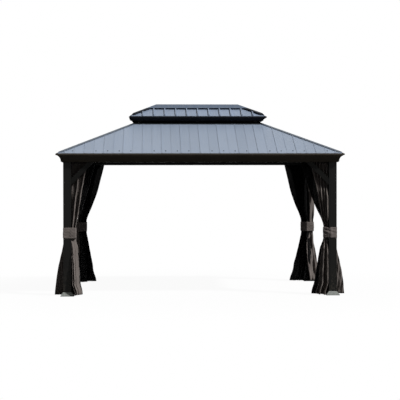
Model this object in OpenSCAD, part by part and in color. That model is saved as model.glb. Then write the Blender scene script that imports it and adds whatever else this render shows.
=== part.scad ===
// Hard-top garden gazebo: four posts, a mitred eave moulding, a standing-seam
// hip roof, a vented upper roof on short legs, and tied-back curtains.
// Millimetres, +Z up, origin on the ground at the centre of the four posts.
// The front looks along -Y.

/* [Overall] */
// Length over the eave mouldings, along X
eave_l = 4270; // [3600:10:5200]
// Width over the eave mouldings, along Y
eave_w = 3050; // [2600:10:3500]
// Height under the beams
clear_h = 1982; // [1800:1:2400]
// Pitch of every roof slope, in degrees
roof_pitch = 23.7; // [18:0.1:30]

/* [Posts] */
// Side of a square post
post_size = 115; // [90:1:160]
// Wall of the post tube
post_wall = 2.5; // [1.5:0.5:5]
// Width of the two grooves in each post face
post_groove_w = 9; // [4:1:14]
// Depth of those grooves
post_groove_d = 1.5; // [0.5:0.5:2]
// Distance from a post corner to its groove
post_groove_in = 15; // [10:1:22]

/* [Feet] */
// Side of the foot plate
foot_plate = 200; // [180:1:260]
// Thickness of the foot plate
foot_plate_t = 8; // [5:1:12]
// Distance between the anchor bolts of a foot
foot_bolt_pitch = 164; // [150:1:176]
// Diameter of an anchor bolt hole
foot_bolt_d = 12; // [8:1:16]
// Height of the sloped foot cover
foot_cover_h = 52; // [30:1:90]
// Wall of the foot cover
foot_cover_t = 2; // [1:0.5:4]

/* [Beams] */
// Width of a beam tube
beam_t = 60; // [50:1:70]
// Wall of a beam tube
beam_wall = 2.5; // [1.5:0.5:5]
// Leg of a corner brace, along the post and along the beam
brace_leg = 340; // [240:5:500]
// Width of a corner brace
brace_w = 70; // [40:1:90]
// Thickness of a corner brace
brace_t = 28; // [20:1:40]
// Distance of a brace behind the outer face of its post
brace_in = 3; // [1:1:12]

/* [Eave moulding] */
// How far the moulding stands out from the posts
eave_out = 105; // [80:1:140]
// Height of the moulding at its outer edge
eave_h = 124; // [100:1:160]
// Height of the upright lip at the outer edge
eave_lip = 19; // [10:1:26]
// How far the foot of the cove stands out
eave_base_out = 33; // [24:1:40]
// Height of the two steps under the cove
eave_base_h = 18; // [12:1:24]
// Depth of the cove's curve, from the line between its ends
eave_cove = 20.3; // [14:0.1:24]
// Wall of the hollow moulding
moulding_wall = 2.5; // [1.5:0.5:2.5]

/* [Rafters] */
// Width of a rafter
rafter_w = 40; // [30:1:60]
// Depth of a rafter, square to the slope
rafter_d = 60; // [40:1:80]
// Width of a hip rafter
hip_rafter_w = 50; // [40:1:70]
// Depth of the seat cut on the beams
seat_cut = 19; // [8:1:25]
// Distance of a rafter from the middle of a long side
rafter_x = 490; // [300:10:700]

/* [Main roof] */
// Thickness of the roof sheet
sheet_t = 3; // [2:0.5:5]
// Distance between the sheet's upper edge and the vent ring, in plan
sheet_back = 20; // [10:1:30]
// Distance of the sheet's lower edge from the eave's edge
sheet_in = 10; // [6:1:20]
// Gap between a sheet's edge and the hip line
hip_gap = 6; // [3:1:12]
// Distance between the fold lines of the sheet
seam_pitch = 143; // [110:1:200]
// Height of the standing seams, at every second fold
seam_h = 5; // [4:0.5:14]
// Width of the standing seams
seam_w = 13; // [8:1:20]
// Height of the crease between two seams
crease_h = 2.5; // [2:0.5:4]
// Width of a hip cap
hip_cap_w = 84; // [60:1:120]
// Thickness of a hip cap
hip_cap_t = 4; // [2:0.5:6]
// Length over which a hip cap's lower end is pressed down to the sheet, in plan
cap_nose = 30; // [20:1:60]
// Distance of the hip caps' and sheets' lower ends from the tip of a corner, along either eave
cap_end = 36; // [20:1:50]

/* [Vent] */
// Width of the vent ring over its outer faces, along Y
vent_w = 714; // [600:1:1000]
// Width of the vent ring's tube
ring_t = 40; // [30:1:50]
// Depth of the vent ring's tube
ring_d = 85; // [70:1:110]
// Thickness of the flashing round the vent
flashing_t = 3; // [2:0.5:5]
// How far the flashing reaches down over the sheets
flashing_lap = 60; // [20:1:90]
// Open height between the vent ring and the upper roof
vent_gap = 22; // [20:1:60]
// Length of an upper roof leg along the vent ring
leg_l = 40; // [30:1:60]
// Thickness of an upper roof leg
leg_t = 30; // [20:1:30]
// Distance of a corner leg from the end of the vent ring
leg_in = 40; // [0:1:80]

/* [Upper roof] */
// How far the upper moulding stands out from its frame
cup_out = 108; // [90:1:130]
// Height of the upper moulding at its outer edge
cup_h = 65; // [60:1:110]
// Height of the upright lip of the upper moulding
cup_lip = 16; // [10:1:22]
// How far the foot of the upper cove stands out
cup_base_out = 58; // [50:1:70]
// Height of the steps under the upper cove
cup_base_h = 10; // [6:1:14]
// Depth of the upper cove's curve, from the line between its ends
cup_cove = 8; // [5:0.5:14]
// Width of the upper frame's tube
cup_frame_t = 40; // [30:1:50]
// Depth of the upper frame's tube
cup_frame_d = 92; // [60:1:100]
// How far the upper moulding hangs below its frame
cup_drop = 6; // [0:1:20]
// Distance between the ribs of the upper roof
rib_pitch = 172; // [130:1:220]
// Height of a rib
rib_h = 20; // [10:1:26]
// Width of a rib
rib_w = 16; // [10:1:24]
// Width of an upper hip cap
cup_cap_w = 90; // [60:1:120]
// Half width of the ridge cap
ridge_cap_half = 192; // [140:1:220]
// Half width of the flat along the top of the ridge cap
ridge_flat = 40; // [40:1:60]
// Width of the upper rafters and ridge bar
cup_rafter_w = 30; // [24:1:40]
// Depth of the upper rafters and ridge bar
cup_rafter_d = 40; // [30:1:50]

/* [Curtains] */
// Height of a curtain track
track_h = 28; // [22:1:36]
// Width of a double curtain track
track_w = 46; // [40:1:50]
// Width of a glider slot
track_slot = 8; // [5:1:10]
// Wall of a curtain track
track_wall = 2.5; // [2:0.5:3]
// Length of track that a gathered curtain takes up
curtain_top = 365; // [250:5:500]
// Thickness of the gathered curtain at the track
curtain_top_t = 96; // [50:1:110]
// How far the tied curtain stands out from the post
bunch_out = 82; // [60:1:110]
// How far the skirt reaches along the opening at the ground
skirt_reach = 205; // [140:5:300]
// How far the skirt bells out past the post's outer face
skirt_out = 98; // [60:1:100]
// How far the skirt bells in past the post's inner face
skirt_in = 80; // [40:1:140]
// Height of the hem above the ground
hem_up = 12; // [6:1:40]
// Height of the middle of the tie
tie_z = 935; // [800:5:1100]
// Height of the tie band
tie_h = 156; // [80:1:200]
// Thickness of the tie band
tie_t = 3; // [2:0.5:6]

/* [Hidden] */
$fn = 64;

// Clearances: cloth to its neighbours, a cover to its post, and a cut past a face
soft_gap = 0.3;
cover_gap = 0.5;
cut = 1;

// Colours
frame_black = [0.07, 0.07, 0.07];
roof_grey = [0.58, 0.62, 0.68];
cap_grey = [0.40, 0.45, 0.51];
foot_grey = [0.66, 0.69, 0.68];
curtain_taupe = [0.36, 0.32, 0.31];

// Heights on the main roof: the sheet's underside, at a distance in from the eave's edge
slope = tan(roof_pitch);
eave_z = clear_h + eave_h;
function roof_z(d) = eave_z + d * slope;
function upright(t) = t / cos(roof_pitch);

// Half spacings of the post faces, and the top of posts and beams
post_x = eave_l / 2 - eave_out;
post_y = eave_w / 2 - eave_out;
rafter_v = upright(rafter_d);
beam_top = roof_z(eave_out + beam_t) - rafter_v + seat_cut;
beam_h = beam_top - clear_h;

// Lifts of the sheet's top, the seams and the caps above the sheet's underside, upright
sheet_v = upright(sheet_t);
seam_lift = sheet_v + upright(seam_h);
crease_lift = sheet_v + upright(crease_h);
rib_lift = sheet_v + upright(rib_h);
flashing_v = upright(flashing_t);
cap_v = upright(hip_cap_t);
ridge_lift = rib_lift + cap_v;

// Vent ring and upper roof: both frames have the same outer faces
ring_run = (eave_w - vent_w) / 2;
sheet_run = ring_run - sheet_back;
flashing_run = sheet_run - flashing_lap;
ring_x = eave_l / 2 - ring_run;
ring_y = eave_w / 2 - ring_run;
ring_top = roof_z(ring_run) + seam_lift + flashing_v;
cup_l = 2 * (ring_x + cup_out);
cup_w = 2 * (ring_y + cup_out);
cup_frame_z = ring_top + vent_gap;
cup_frame_top = cup_frame_z + cup_frame_d;
cup_bottom = cup_frame_z - cup_drop;
cup_eave_z = cup_bottom + cup_h;
function cup_z(d) = cup_eave_z + d * slope;
ridge_half = (cup_l - cup_w) / 2;
ridge_flat_z = cup_z(cup_w / 2 - ridge_flat) + ridge_lift;

tall = 2 * (eave_z + eave_l);

// Placing

// The four corners, in reading order: front left, front right, rear left, rear right
CORNERS = [[-1, -1], [1, -1], [-1, 1], [1, 1]];

// Moves a piece drawn at a corner, whose own X and Y run inwards from [x, y], to one corner
module at_corner(c, x, y) {
    mirror([c[0] > 0 ? 1 : 0, 0, 0])
        mirror([0, c[1] > 0 ? 1 : 0, 0])
            translate([-x, -y, 0]) children();
}

// Turns a piece drawn on the front to side 0 front, 1 right, 2 rear or 3 left
module on_side(side) {
    rotate([0, 0, 90 * side]) children();
}

// Swaps X and Y, to draw the other arm of a corner
module other_arm(swap) {
    if (swap) mirror([1, -1, 0]) children();
    else children();
}

// A side's length, and its distance from the centre, in a plan of l by w
function side_l(side, l, w) = side % 2 == 0 ? l : w;
function side_d(side, l, w) = side % 2 == 0 ? w / 2 : l / 2;

// Runs a profile, drawn in depth and height, along X
module run_x(length) {
    rotate([90, 0, 90]) translate([0, 0, -length / 2]) linear_extrude(length) children();
}

// A sloping strip of the front, from d0 to d1 in from the edge, between two lifts
module slope_strip(length, dist, z0, d0, d1, low, high) {
    run_x(length) polygon([
        [d0 - dist, z0 + d0 * slope + low],
        [d1 - dist, z0 + d1 * slope + low],
        [d1 - dist, z0 + d1 * slope + high],
        [d0 - dist, z0 + d0 * slope + high],
    ]);
}

// The plan of the front between d0 and d1, mitred at 45 degrees less a gap
module mitred_plan(length, dist, d0, d1, gap) {
    half0 = length / 2 - d0 - gap;
    half1 = length / 2 - d1 - gap;
    linear_extrude(tall) polygon([
        [-half0, d0 - dist], [half0, d0 - dist], [half1, d1 - dist], [-half1, d1 - dist],
    ]);
}

// Everything under one slope that rises along +Y from the edge at z0
module under_slope(size, z0, rate = slope) {
    translate([size / 2, 0, 0]) run_x(2 * size) polygon([
        [-size, z0 - 3 * size], [size, z0 - 3 * size], [size, z0 + size * rate], [-size, z0 - size * rate],
    ]);
}

// Everything under the two slopes that meet at a corner's hip
module under_hip(size, z0, rate = slope) {
    intersection() {
        under_slope(size, z0, rate);
        mirror([1, -1, 0]) under_slope(size, z0, rate);
    }
}

// Everything under the four slopes of a hip roof of l by w
module under_roof(l, w, z0) {
    intersection_for(side = [0:3])
        on_side(side) translate([0, -side_d(side, l, w), 0]) under_slope(l, z0);
}

module centred_box(x, y, z0, z1) {
    translate([-x, -y, z0]) cube([2 * x, 2 * y, z1 - z0]);
}

// Posts and feet

module post_profile() {
    difference() {
        square(post_size);
        translate([post_wall, post_wall] + [post_groove_d, post_groove_d])
            square(post_size - 2 * (post_wall + post_groove_d));
        for (turn = [0:3], at = [post_groove_in, post_size - post_groove_in - post_groove_w])
            translate([post_size / 2, post_size / 2]) rotate(90 * turn)
                translate([at - post_size / 2, -post_size / 2 - cut])
                    square([post_groove_w, post_groove_d + cut]);
    }
}

module post(c) {
    color(frame_black) at_corner(c, post_x, post_y)
        translate([0, 0, foot_plate_t]) linear_extrude(beam_top - foot_plate_t) post_profile();
}

module foot_plate() {
    difference() {
        translate([-foot_plate / 2, -foot_plate / 2, 0]) cube([foot_plate, foot_plate, foot_plate_t]);
        for (x = [-1, 1], y = [-1, 1])
            translate([x * foot_bolt_pitch / 2, y * foot_bolt_pitch / 2, -cut])
                cylinder(d = foot_bolt_d, h = foot_plate_t + 2 * cut);
    }
}

module foot_plates() {
    color(foot_grey) for (c = CORNERS)
        at_corner(c, post_x - post_size / 2, post_y - post_size / 2) foot_plate();
}

// A block that narrows from w0 to w1 on all four sides
module frustum(w0, w1, h) {
    intersection_for(turn = [0, 90]) rotate([0, 0, turn])
        run_x(w0) polygon([[-w0 / 2, 0], [w0 / 2, 0], [w1 / 2, h], [-w1 / 2, h]]);
}

module foot_cover() {
    collar = post_size + 2 * (cover_gap + foot_cover_t);
    wall = 2 * foot_cover_t;
    difference() {
        frustum(foot_plate, collar, foot_cover_h);
        translate([0, 0, -foot_cover_t]) frustum(foot_plate - wall, collar - wall, foot_cover_h);
        centred_box(post_size / 2 + cover_gap, post_size / 2 + cover_gap, -cut, foot_cover_h + cut);
    }
}

module foot_covers() {
    color(foot_grey) for (c = CORNERS)
        at_corner(c, post_x - post_size / 2, post_y - post_size / 2)
            translate([0, 0, foot_plate_t]) foot_cover();
}

// Beams, tracks and braces

module beam(side) {
    dist = side_d(side, 2 * post_x, 2 * post_y);
    length = side_l(side, 2 * post_x, 2 * post_y) - 2 * post_size;
    color(frame_black) on_side(side) run_x(length) difference() {
        translate([-dist, clear_h]) square([beam_t, beam_h]);
        translate([beam_wall - dist, clear_h + beam_wall])
            square([beam_t - 2 * beam_wall, beam_h - 2 * beam_wall]);
    }
}

// Two glider channels side by side, each open downwards through its slot
module track_profile() {
    bay = (track_w - 3 * track_wall) / 2;
    difference() {
        square([track_w, track_h]);
        for (i = [0, 1]) translate([track_wall + i * (bay + track_wall), 0]) {
            translate([0, track_wall]) square([bay, track_h - 2 * track_wall]);
            translate([(bay - track_slot) / 2, -cut]) square([track_slot, track_wall + 2 * cut]);
        }
    }
}

module curtain_tracks() {
    color(frame_black) for (side = [0:3]) on_side(side) {
        dist = side_d(side, 2 * post_x, 2 * post_y);
        run_x(side_l(side, 2 * post_x, 2 * post_y) - 2 * post_size)
            translate([beam_t - dist, clear_h]) track_profile();
    }
}

// A flat bar at 45 degrees between the post's side and the beam's underside
module brace() {
    inner = brace_leg - brace_w * sqrt(2);
    translate([post_size, brace_in + brace_t, clear_h]) rotate([90, 0, 0]) linear_extrude(brace_t)
        polygon([[0, -brace_leg], [brace_leg, 0], [inner, 0], [0, -inner]]);
}

module corner_braces() {
    color(frame_black) for (c = CORNERS, swap = [false, true])
        at_corner(c, post_x, post_y) other_arm(swap) brace();
}

// Eave mouldings

// Two steps, a cove, a lip, and a top that is cut to the roof's pitch, all drawn inwards by a margin
module moulding_outline(out, height, lip, base_out, base_h, cove, margin) {
    across = out - base_out;
    rise = height - lip - base_h;
    chord = sqrt(across * across + rise * rise);
    radius = (chord * chord / 4 + cove * cove) / (2 * cove);
    reach = (radius - cove) / chord;
    step = base_out * 0.6 - margin;
    step_z = base_h * 0.45 + margin;
    top = height + out * slope - upright(margin);
    difference() {
        polygon([
            [margin, margin], [step, margin], [step, step_z],
            [base_out - margin, step_z], [base_out - margin, base_h], [out - margin, base_h],
            [out - margin, top - (out - margin) * slope], [margin, top - margin * slope],
        ]);
        intersection() {
            translate([base_out + across / 2 + reach * rise, base_h + rise / 2 - reach * across])
                circle(radius + margin);
            translate([base_out - margin, base_h]) square([across + margin + cut, rise + margin]);
        }
    }
}

module moulding_profile(out, height, lip, base_out, base_h, cove) {
    difference() {
        moulding_outline(out, height, lip, base_out, base_h, cove, 0);
        moulding_outline(out, height, lip, base_out, base_h, cove, moulding_wall);
    }
}

// One side's moulding, mitred to its neighbours
module moulding(side, l, w, z, out, height, lip, base_out, base_h, cove) {
    length = side_l(side, l, w);
    dist = side_d(side, l, w);
    color(frame_black) on_side(side) intersection() {
        run_x(length) translate([out - dist, z]) mirror([1, 0])
            moulding_profile(out, height, lip, base_out, base_h, cove);
        mitred_plan(length, dist, 0, out, 0);
    }
}

module eave(side) {
    moulding(side, eave_l, eave_w, clear_h, eave_out, eave_h, eave_lip, eave_base_out, eave_base_h,
        eave_cove);
}

module cupola_eave(side) {
    moulding(side, cup_l, cup_w, cup_bottom, cup_out, cup_h, cup_lip, cup_base_out, cup_base_h, cup_cove);
}

// Rafters

// A rafter's outline in distance from the eave and height, seated at the top of the beam
module rafter_outline(seat0, seat1, end, depth, rate) {
    polygon([
        [seat0, beam_top], [seat1, beam_top], [seat1, eave_z + seat1 * rate - depth],
        [end, eave_z + end * rate - depth], [end, eave_z + end * rate],
        [seat0, eave_z + seat0 * rate],
    ]);
}

module rafter(side, x) {
    dist = side_d(side, eave_l, eave_w);
    on_side(side) translate([x, 0, 0]) run_x(rafter_w) translate([-dist, 0])
        rafter_outline(eave_out, eave_out + beam_t, ring_run, rafter_v, slope);
}

module rafters() {
    color(frame_black) {
        for (side = [0, 2], x = [-rafter_x, rafter_x]) rafter(side, x);
        for (side = [1, 3]) rafter(side, 0);
    }
}

// A hip rafter runs along the corner's diagonal, its top bevelled to both slopes
module hip_rafter() {
    diagonal = sqrt(2);
    start = eave_out * diagonal + hip_rafter_w / 2;
    intersection() {
        difference() {
            rotate([0, 0, 45]) rotate([90, 0, 0]) translate([0, 0, -hip_rafter_w / 2])
                linear_extrude(hip_rafter_w) rafter_outline(
                    start, (eave_out + post_size) * diagonal,
                    ring_run * diagonal + hip_rafter_w, rafter_v, slope / diagonal);
            translate([ring_run, ring_run, 0]) cube([2 * ring_x, 2 * ring_y, tall]);
        }
        under_hip(eave_l, eave_z);
    }
}

module hip_rafters() {
    color(frame_black) for (c = CORNERS) at_corner(c, eave_l / 2, eave_w / 2) hip_rafter();
}

// Vent

module vent_ring() {
    color(frame_black) difference() {
        centred_box(ring_x, ring_y, ring_top - ring_d, ring_top);
        centred_box(ring_x - ring_t, ring_y - ring_t, ring_top - ring_d - cut, ring_top + cut);
    }
}

// A folded frame that lies on the seams and closes against the ring
module vent_flashing() {
    color(frame_black) difference() {
        intersection() {
            under_roof(eave_l, eave_w, eave_z + seam_lift + flashing_v);
            centred_box(eave_l / 2 - flashing_run, eave_w / 2 - flashing_run, 0, ring_top);
        }
        under_roof(eave_l, eave_w, eave_z + seam_lift);
        centred_box(ring_x, ring_y, 0, tall);
    }
}

// Upper roof frame

module cupola_leg() {
    translate([0, 0, ring_top]) cube([leg_l, leg_t, vent_gap + cut]);
}

// A tube ring on eight short legs that stand on the vent ring
module cupola_frame() {
    color(frame_black) {
        difference() {
            centred_box(ring_x, ring_y, cup_frame_z, cup_frame_top);
            centred_box(ring_x - cup_frame_t, ring_y - cup_frame_t, cup_frame_z - cut, cup_frame_top + cut);
        }
        for (c = CORNERS) at_corner(c, ring_x, ring_y) translate([leg_in, 0, 0]) cupola_leg();
        for (side = [0:3]) on_side(side)
            translate([-leg_l / 2, -side_d(side, 2 * ring_x, 2 * ring_y), 0]) cupola_leg();
    }
}

// A hip bar's outline along the diagonal, seated on the upper frame
module cupola_hip_outline(start, reach, depth) {
    rate = slope / sqrt(2);
    polygon([
        [start, cup_frame_top], [start, cup_eave_z + start * rate],
        [reach, cup_eave_z + reach * rate], [reach, cup_eave_z + reach * rate - depth],
        [start + depth, cup_frame_top],
    ]);
}

// Four hip bars that meet a ridge bar, bevelled to the slopes
module cupola_rafters() {
    depth = upright(cup_rafter_d);
    start = cup_out + cup_frame_t / 2;
    reach = cup_w / sqrt(2);
    color(frame_black) intersection() {
        under_roof(cup_l, cup_w, cup_eave_z);
        union() {
            translate([-ridge_half, -cup_rafter_w / 2, cup_z(cup_w / 2) - depth])
                cube([2 * ridge_half, cup_rafter_w, depth]);
            for (c = CORNERS) at_corner(c, cup_l / 2, cup_w / 2)
                rotate([0, 0, 45]) rotate([90, 0, 0]) translate([0, 0, -cup_rafter_w / 2])
                    linear_extrude(cup_rafter_w) cupola_hip_outline(start * sqrt(2), reach, depth);
        }
    }
}

// Roof sheets

// The plan of a sheet: mitred to its neighbours, with its lower corners cut square at the hip caps' ends
module sheet_plan(length, dist, top) {
    intersection() {
        mitred_plan(length, dist, sheet_in, top, hip_gap);
        translate([cap_end - length / 2, -dist, 0]) cube([length - 2 * cap_end, dist, tall]);
    }
}

// How far from the middle of a side the last fold or rib can lie, clear of a hip cap's pressed end
function last_fold(length, cap_width, fold_width) =
    length / 2 - cap_end - cap_nose - cap_width / sqrt(2) - fold_width / 2;

// One slope of the main roof: a folded sheet with a standing seam at every second fold
module roof_sheet(side) {
    length = side_l(side, eave_l, eave_w);
    dist = side_d(side, eave_l, eave_w);
    folds = floor(last_fold(length, hip_cap_w, seam_w) / seam_pitch);
    color(roof_grey) on_side(side) intersection() {
        union() {
            slope_strip(length, dist, eave_z, sheet_in, sheet_run, 0, sheet_v);
            for (i = [-folds:folds]) translate([i * seam_pitch, 0, 0])
                slope_strip(seam_w, dist, eave_z, sheet_in, sheet_run,
                    sheet_v / 2, i % 2 == 0 ? seam_lift : crease_lift);
        }
        sheet_plan(length, dist, sheet_run);
    }
}

// One slope of the upper roof: a ribbed sheet whose ribs carry the caps
module cupola_sheet(side) {
    length = side_l(side, cup_l, cup_w);
    dist = side_d(side, cup_l, cup_w);
    top = cup_w / 2 - hip_gap - cut;
    rib_top = cup_w / 2 - ridge_flat - rib_w;
    ribs = floor(last_fold(length, cup_cap_w, rib_w) / rib_pitch);
    color(roof_grey) on_side(side) intersection() {
        union() {
            slope_strip(length, dist, cup_eave_z, sheet_in, top, 0, sheet_v);
            for (i = [-ribs:ribs]) translate([i * rib_pitch, 0, 0])
                slope_strip(rib_w, dist, cup_eave_z, sheet_in, rib_top, sheet_v / 2, rib_lift);
        }
        sheet_plan(length, dist, top);
    }
}

// Caps

// Everything under a hip cap: its two slopes, and a steeper pair that presses its lower end down
module under_cap(size, z0, lift, inset) {
    steep = slope + (lift - 2 * sheet_v) / cap_nose;
    intersection() {
        under_hip(size, z0 + lift);
        under_hip(size, z0 + 2 * sheet_v - inset * (steep - slope), steep);
    }
}

// A folded strip over a hip, lying on the seams, from the eave's corner to a square stop
module hip_cap(width, stop, z0, lift, inset) {
    half = width / sqrt(8);
    end = stop + half;
    size = 2 * end;
    difference() {
        intersection() {
            difference() {
                under_cap(size, z0 + cap_v, lift, inset);
                under_cap(size, z0, lift, inset);
            }
            linear_extrude(tall) intersection() {
                polygon([[half, -half], [end + half, end - half], [end - half, end + half], [-half, half]]);
                translate([inset, inset]) square(size);
            }
        }
        translate([stop, stop, 0]) cube([size, size, tall]);
    }
}

module roof_hip_caps() {
    color(cap_grey) for (c = CORNERS) at_corner(c, eave_l / 2, eave_w / 2)
        hip_cap(hip_cap_w, flashing_run, eave_z, seam_lift, cap_end);
}

module cupola_hip_caps() {
    color(cap_grey) for (c = CORNERS) at_corner(c, cup_l / 2, cup_w / 2)
        hip_cap(cup_cap_w, cup_w / 2 - ridge_cap_half, cup_eave_z, rib_lift, cap_end);
}

// A hip-ended cap with a flat along its top, lying on the ribs
module cupola_ridge_cap() {
    color(cap_grey) intersection() {
        difference() {
            intersection() {
                under_roof(cup_l, cup_w, cup_eave_z + ridge_lift);
                centred_box(cup_l, cup_l, 0, ridge_flat_z);
            }
            intersection() {
                under_roof(cup_l, cup_w, cup_eave_z + rib_lift);
                centred_box(cup_l, cup_l, 0, ridge_flat_z - cap_v);
            }
        }
        centred_box(ridge_half + ridge_cap_half, ridge_cap_half, 0, tall);
    }
}

// Curtains, drawn at a corner with X along the opening and Y inwards, from the post's outer corner

// A level slice of gathered cloth with rounded ends
module cloth_slice(x0, x1, y0, y1, z) {
    round_r = min(x1 - x0, y1 - y0) / 3;
    for (x = [x0 + round_r, x1 - round_r], y = [y0 + round_r, y1 - round_r])
        translate([x, y, z]) cylinder(r = round_r, h = cut, $fn = 16);
}

module curtain_arm() {
    side = post_size + soft_gap;
    track_mid = beam_t + track_w / 2;
    top_z = clear_h - soft_gap - cut;
    tie_top = tie_z + tie_h / 2;
    tie_bottom = tie_z - tie_h / 2;
    difference() {
        union() {
            hull() {
                cloth_slice(side, side + curtain_top, track_mid - curtain_top_t / 2,
                    track_mid + curtain_top_t / 2, top_z);
                waist(tie_top);
            }
            hull() {
                waist(tie_top);
                waist(tie_bottom);
            }
            hull() {
                waist(tie_bottom);
                cloth_slice(side, side + skirt_reach, -skirt_out, post_size + skirt_in, hem_up);
            }
        }
        foot_clearance();
        brace_clearance();
        arm_mitre();
    }
}

// The tied cloth beside the post
module waist(z) {
    side = post_size + soft_gap;
    cloth_slice(side, side + bunch_out, 2 * tie_t, post_size, z);
}

// Room for the foot plate and its cover
module foot_clearance() {
    spread = (foot_plate - post_size) / 2 + soft_gap;
    translate([-spread, -spread, 0])
        cube([post_size + 2 * spread, post_size + 2 * spread, foot_plate_t + foot_cover_h + soft_gap]);
}

// Room for the corner brace in front of the cloth
module brace_clearance() {
    translate([0, -skirt_out, clear_h - brace_leg - soft_gap])
        cube([post_size + curtain_top, skirt_out + brace_in + brace_t + soft_gap, brace_leg + cut]);
}

// Keeps one arm on its own side of the corner's diagonal
module arm_mitre() {
    far = post_size + curtain_top + skirt_reach;
    linear_extrude(tall) polygon([[soft_gap, 0], [far + soft_gap, far], [-far, far], [-far, 0]]);
}

module curtain(c) {
    color(curtain_taupe) for (swap = [false, true])
        at_corner(c, post_x, post_y) other_arm(swap) curtain_arm();
}

// The outline round a post and its two tied arms, grown by a margin
module tie_outline(margin) {
    far = post_size + soft_gap + bunch_out;
    hull() for (p = [[0, 0], [far, 0], [far, post_size], [post_size, far], [0, far]])
        translate(p) circle(margin, $fn = 16);
}

module tie(c) {
    color(curtain_taupe) at_corner(c, post_x, post_y) translate([0, 0, tie_z - tie_h / 2])
        difference() {
            linear_extrude(tie_h) tie_outline(soft_gap + tie_t);
            translate([0, 0, -cut]) linear_extrude(tie_h + 2 * cut) tie_outline(soft_gap);
        }
}

post(CORNERS[0]);  // post_front_left
post(CORNERS[1]);  // post_front_right
post(CORNERS[2]);  // post_rear_left
post(CORNERS[3]);  // post_rear_right
foot_plates();
foot_covers();
beam(0);  // beam_front
beam(2);  // beam_rear
beam(3);  // beam_left
beam(1);  // beam_right
eave(0);  // eave_front
eave(2);  // eave_rear
eave(3);  // eave_left
eave(1);  // eave_right
curtain_tracks();
corner_braces();
hip_rafters();
rafters();
vent_ring();
vent_flashing();
cupola_frame();
cupola_rafters();
roof_sheet(0);  // roof_front
roof_sheet(2);  // roof_rear
roof_sheet(3);  // roof_left
roof_sheet(1);  // roof_right
roof_hip_caps();
cupola_eave(0);  // cupola_eave_front
cupola_eave(2);  // cupola_eave_rear
cupola_eave(3);  // cupola_eave_left
cupola_eave(1);  // cupola_eave_right
cupola_sheet(0);  // cupola_roof_front
cupola_sheet(2);  // cupola_roof_rear
cupola_sheet(3);  // cupola_roof_left
cupola_sheet(1);  // cupola_roof_right
cupola_hip_caps();
cupola_ridge_cap();
curtain(CORNERS[0]);  // curtain_front_left
curtain(CORNERS[1]);  // curtain_front_right
curtain(CORNERS[2]);  // curtain_rear_left
curtain(CORNERS[3]);  // curtain_rear_right
tie(CORNERS[0]);  // tie_front_left
tie(CORNERS[1]);  // tie_front_right
tie(CORNERS[2]);  // tie_rear_left
tie(CORNERS[3]);  // tie_rear_right
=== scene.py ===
# A hard-top garden gazebo with a vented double roof and tied-back curtains, put together in the order
# that it is built on site. Metres; the ground is at z = 0 and the front looks along -Y.
import math

import bpy
import numpy as np
from mathutils import Euler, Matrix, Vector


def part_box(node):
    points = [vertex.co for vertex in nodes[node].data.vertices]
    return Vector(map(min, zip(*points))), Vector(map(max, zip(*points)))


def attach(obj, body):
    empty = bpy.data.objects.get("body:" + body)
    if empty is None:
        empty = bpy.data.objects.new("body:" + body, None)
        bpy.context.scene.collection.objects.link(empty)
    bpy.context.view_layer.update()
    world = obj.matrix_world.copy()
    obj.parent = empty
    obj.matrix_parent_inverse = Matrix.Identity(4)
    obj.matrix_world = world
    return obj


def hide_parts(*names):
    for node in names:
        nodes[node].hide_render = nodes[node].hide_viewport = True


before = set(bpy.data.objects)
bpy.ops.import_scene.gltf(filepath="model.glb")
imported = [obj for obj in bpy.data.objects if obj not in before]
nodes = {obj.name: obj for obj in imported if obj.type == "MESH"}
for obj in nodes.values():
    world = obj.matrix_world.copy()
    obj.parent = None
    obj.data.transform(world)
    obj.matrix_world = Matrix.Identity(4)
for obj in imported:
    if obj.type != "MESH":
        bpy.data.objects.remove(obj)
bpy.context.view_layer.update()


# Posts: square aluminium extrusions with two shallow grooves in each face, powder coated in charcoal.
# They stand on the foot plates and carry the beams. The coat is satin with a fine orange peel, and
# rain has splashed a little soil on the lowest part.

def put(tree, kind, values=None, **settings):
    """Adds one shader node to a tree, with its own settings and the values of its inputs."""
    made = tree.nodes.new("ShaderNode" + kind)
    for name, value in settings.items():
        setattr(made, name, value)
    for name, value in (values or {}).items():
        made.inputs[name].default_value = value
    return made


def maths(tree, operation, first, second=None, third=None):
    """One Math node: each operand is a number or the output of another node."""
    made = put(tree, "Math", operation=operation)
    for place, operand in enumerate((first, second, third)):
        if isinstance(operand, (int, float)):
            made.inputs[place].default_value = operand
        elif operand is not None:
            tree.links.new(operand, made.inputs[place])
    return made.outputs[0]


def ramp(tree, value, low, high, to_low=0.0, to_high=1.0):
    """A value carried smoothly from the span low..high to the span to_low..to_high."""
    made = put(tree, "MapRange", interpolation_type="SMOOTHSTEP")
    for place, number in enumerate((low, high, to_low, to_high), start=1):
        made.inputs[place].default_value = number
    tree.links.new(value, made.inputs[0])
    return made.outputs[0]


def noise(tree, vector, scale, detail=2.0, roughness=0.5):
    """The grey value of a noise texture on a vector."""
    made = put(tree, "TexNoise", {"Scale": scale, "Detail": detail, "Roughness": roughness})
    tree.links.new(vector, made.inputs["Vector"])
    return made.outputs["Fac"]


def mix_colours(tree, share, first, second, blend="MIX"):
    """Two colours mixed by a share; each is a tuple or the output of another node."""
    made = put(tree, "Mix", data_type="RGBA", blend_type=blend)
    for socket, value in ((made.inputs[0], share), (made.inputs[6], first), (made.inputs[7], second)):
        if isinstance(value, bpy.types.NodeSocket):
            tree.links.new(value, socket)
        else:
            socket.default_value = value
    return made.outputs[2]


def toned(tree, colour, tone):
    """A colour multiplied by one value in all its channels."""
    grey = put(tree, "CombineColor")
    for channel in range(3):
        tree.links.new(tone, grey.inputs[channel])
    return mix_colours(tree, 1.0, colour, grey.outputs[0], "MULTIPLY")


def about_zero(tree, value, size):
    """A grey value measured from its middle, one half, and scaled by a number or another node's output."""
    return maths(tree, "MULTIPLY", maths(tree, "SUBTRACT", value, 0.5), size)


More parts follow.
